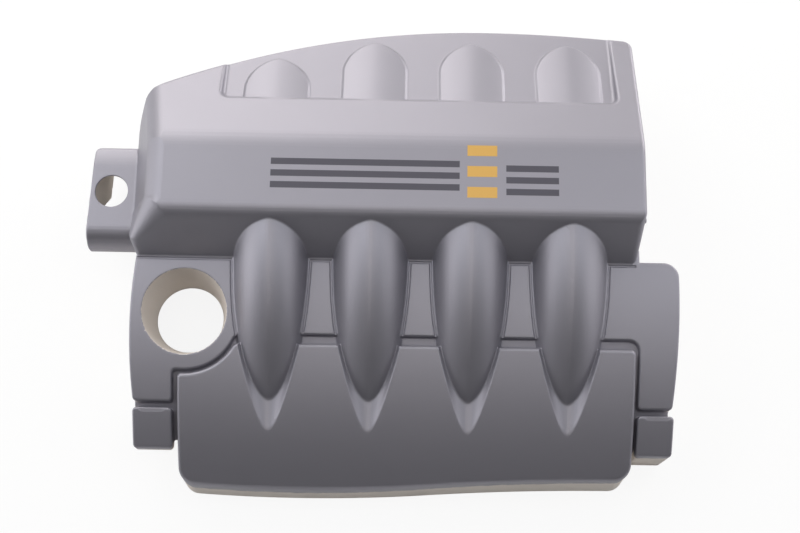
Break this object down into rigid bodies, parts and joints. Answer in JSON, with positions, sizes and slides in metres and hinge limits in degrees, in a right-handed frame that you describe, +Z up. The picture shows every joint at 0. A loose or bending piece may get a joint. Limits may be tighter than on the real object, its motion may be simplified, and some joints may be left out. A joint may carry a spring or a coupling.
{
  "type": "engine cover",
  "caption": "Moulded cover that presses onto the top of a car engine, with raised runner forms, an oil filler opening and a side lug, open below.",
  "frame": {"origin": "middle of the bounding box, on the plane on which the skirts stand", "axes": "+X along the row of runner forms towards the right wing, +Y from the front panel towards the rear outline, +Z up"},
  "size_m": [0.5094, 0.4144, 0.13],
  "materials": {
    "satin_paint": "satin",
    "rubber": "matte"
  },
  "bodies": {
    "root": {"cover_shell": "satin_paint", "grommet_rear_left": "rubber", "grommet_rear_right": "rubber", "grommet_front_left": "rubber", "grommet_front_right": "rubber"}
  },
  "joints": []
}
